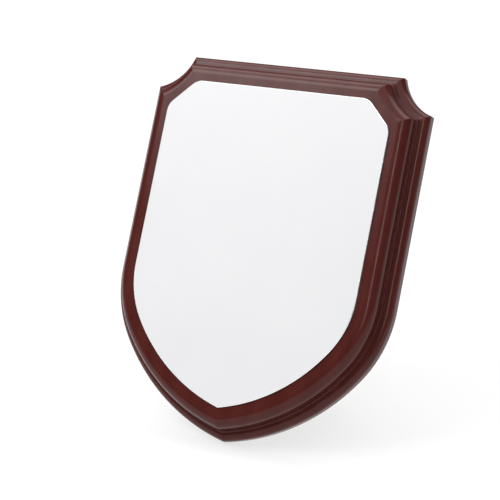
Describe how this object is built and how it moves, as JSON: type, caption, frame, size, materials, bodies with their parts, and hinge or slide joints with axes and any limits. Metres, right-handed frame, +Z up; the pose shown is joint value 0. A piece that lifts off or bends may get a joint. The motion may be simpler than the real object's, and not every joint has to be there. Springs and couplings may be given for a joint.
{
  "type": "award shield plaque",
  "caption": "Shield-shaped wooden award plaque with moulded edge and scooped corners, a blank metal engraving plate, and a folding strut and keyhole hanger behind.",
  "frame": {"origin": "middle of the standing plaque's bounding box, on the surface that it stands on", "axes": "+Z up, the engraving plate faces -Y and leans back 26 degrees, +X to the right of someone reading it"},
  "size_m": [0.161, 0.1022, 0.1854],
  "materials": {
    "mahogany_lacquer": "red-brown mahogany stain under satin-gloss lacquer",
    "white_plate": "white coated face, bright bevelled edge",
    "tape": "double-sided mounting tape",
    "zinc_steel": "zinc plated",
    "screw_steel": "bright zinc",
    "brass_steel": "brass-plated pressed steel",
    "rubber_foot": "matt black rubber",
    "rubber_bumper": "dark translucent rubber"
  },
  "bodies": {
    "plaque": {"shield_board": "mahogany_lacquer", "engraving_plate": "white_plate", "plate_adhesive": "tape", "keyhole_hanger": "zinc_steel", "hanger_screws": "screw_steel", "strut_bracket": "brass_steel", "bracket_screws": "screw_steel", "strut_hinge_pin": "screw_steel", "wall_bumpers": "rubber_bumper"},
    "strut": {"strut_leg": "brass_steel", "strut_foot": "rubber_foot"}
  },
  "joints": [
    {"name": "strut_fold", "type": "hinge", "parent": "plaque", "child": "strut", "pos_m": [0, 0.01335, 0.09914], "axis": [1, 0, 0], "range_deg": [-43, 0]}
  ]
}
